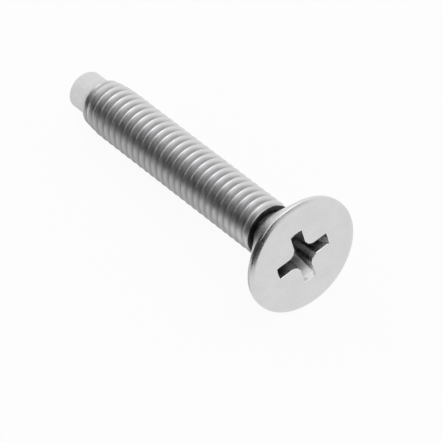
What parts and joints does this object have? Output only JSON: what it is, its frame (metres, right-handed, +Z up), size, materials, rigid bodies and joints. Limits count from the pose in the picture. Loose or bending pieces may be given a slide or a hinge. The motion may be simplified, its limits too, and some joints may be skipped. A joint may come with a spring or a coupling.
{
  "type": "countersunk machine screw with a plastic tip",
  "caption": "Countersunk machine screw with a cross recess, a fine thread over the whole shank and a pale plastic tip pressed into its end.",
  "frame": {"origin": "middle of the screw's footprint on the surface that it lies on", "axes": "+Z up; +X along the screw towards its head, which the screw's axis climbs by about 6 degrees; the screw lies on the rim of its head and on its last full crests"},
  "size_m": [0.0256, 0.0088, 0.0087],
  "materials": {
    "steel": "bright plated steel with a faint satin grain",
    "nylon": "matt natural nylon"
  },
  "bodies": {
    "root": {"screw_body": "steel", "nylon_tip": "nylon"}
  },
  "joints": []
}
